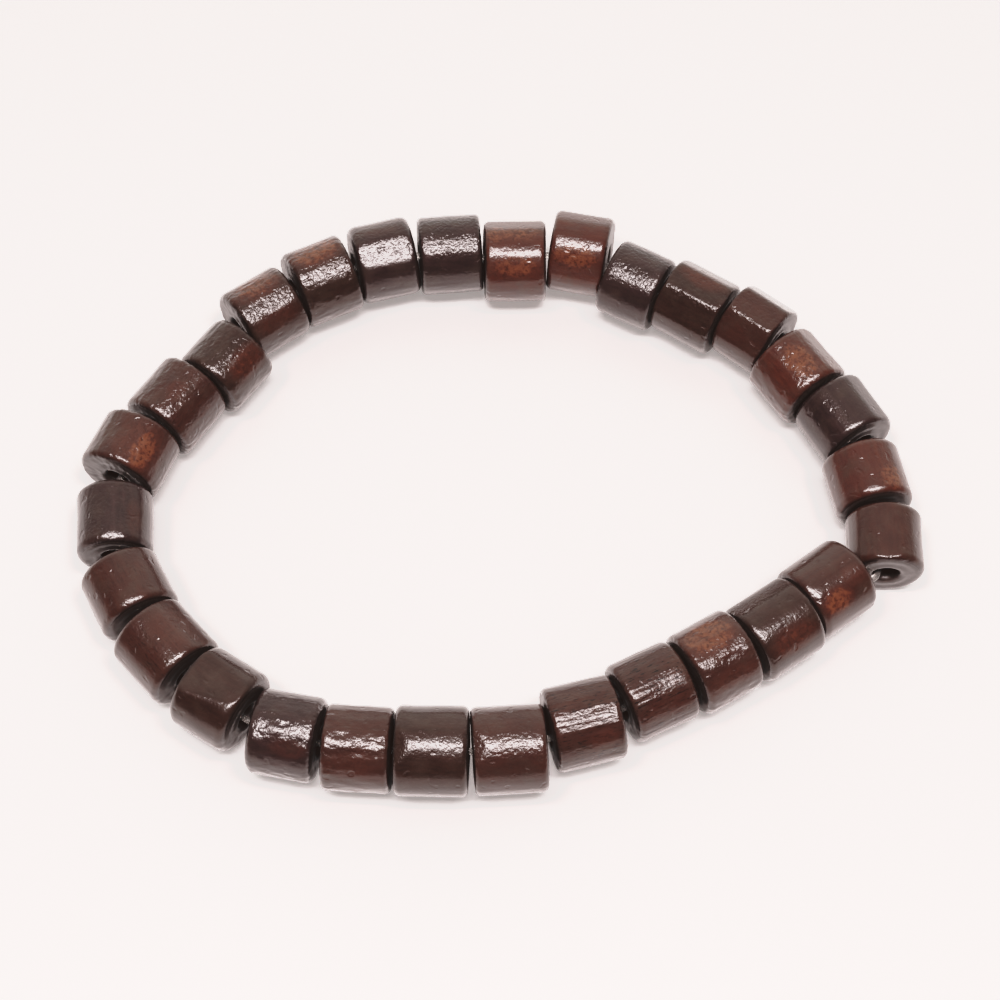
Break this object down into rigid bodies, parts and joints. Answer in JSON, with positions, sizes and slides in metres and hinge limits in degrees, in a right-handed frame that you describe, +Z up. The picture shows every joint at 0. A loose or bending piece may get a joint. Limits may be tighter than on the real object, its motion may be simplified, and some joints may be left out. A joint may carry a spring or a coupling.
{
  "type": "beaded bracelet",
  "caption": "Stretch bracelet of short drum-shaped lacquered wood beads threaded on a clear elastic, lying in a loose loop with one sharp bend.",
  "frame": {"origin": "on the table, under the middle of the bracelet's box", "axes": "+X to the right along the loop's long way, +Y to the back, +Z up through the wrist opening"},
  "size_m": [0.0828, 0.0642, 0.0084],
  "materials": {
    "black_brown_bead": "gloss lacquer over stained wood",
    "dark_brown_bead": "gloss lacquer over stained wood",
    "brown_bead": "gloss lacquer over stained wood",
    "red_brown_bead": "gloss lacquer over stained wood",
    "clear_elastic": "smooth, clear"
  },
  "bodies": {
    "root": {"bead_01": "red_brown_bead", "bead_02": "black_brown_bead", "bead_03": "dark_brown_bead", "bead_04": "brown_bead", "bead_05": "red_brown_bead", "bead_06": "black_brown_bead", "bead_07": "brown_bead", "bead_08": "brown_bead", "bead_09": "brown_bead", "bead_10": "dark_brown_bead", "bead_11": "red_brown_bead", "bead_12": "dark_brown_bead", "bead_13": "brown_bead", "bead_14": "brown_bead", "bead_15": "dark_brown_bead", "bead_16": "brown_bead", "bead_17": "black_brown_bead", "bead_18": "brown_bead", "bead_19": "brown_bead", "bead_20": "brown_bead", "bead_21": "black_brown_bead", "bead_22": "red_brown_bead", "bead_23": "brown_bead", "bead_24": "brown_bead", "bead_25": "red_brown_bead", "bead_26": "red_brown_bead", "bead_27": "black_brown_bead", "bead_28": "black_brown_bead", "bead_29": "red_brown_bead", "elastic_cord": "clear_elastic"}
  },
  "joints": []
}
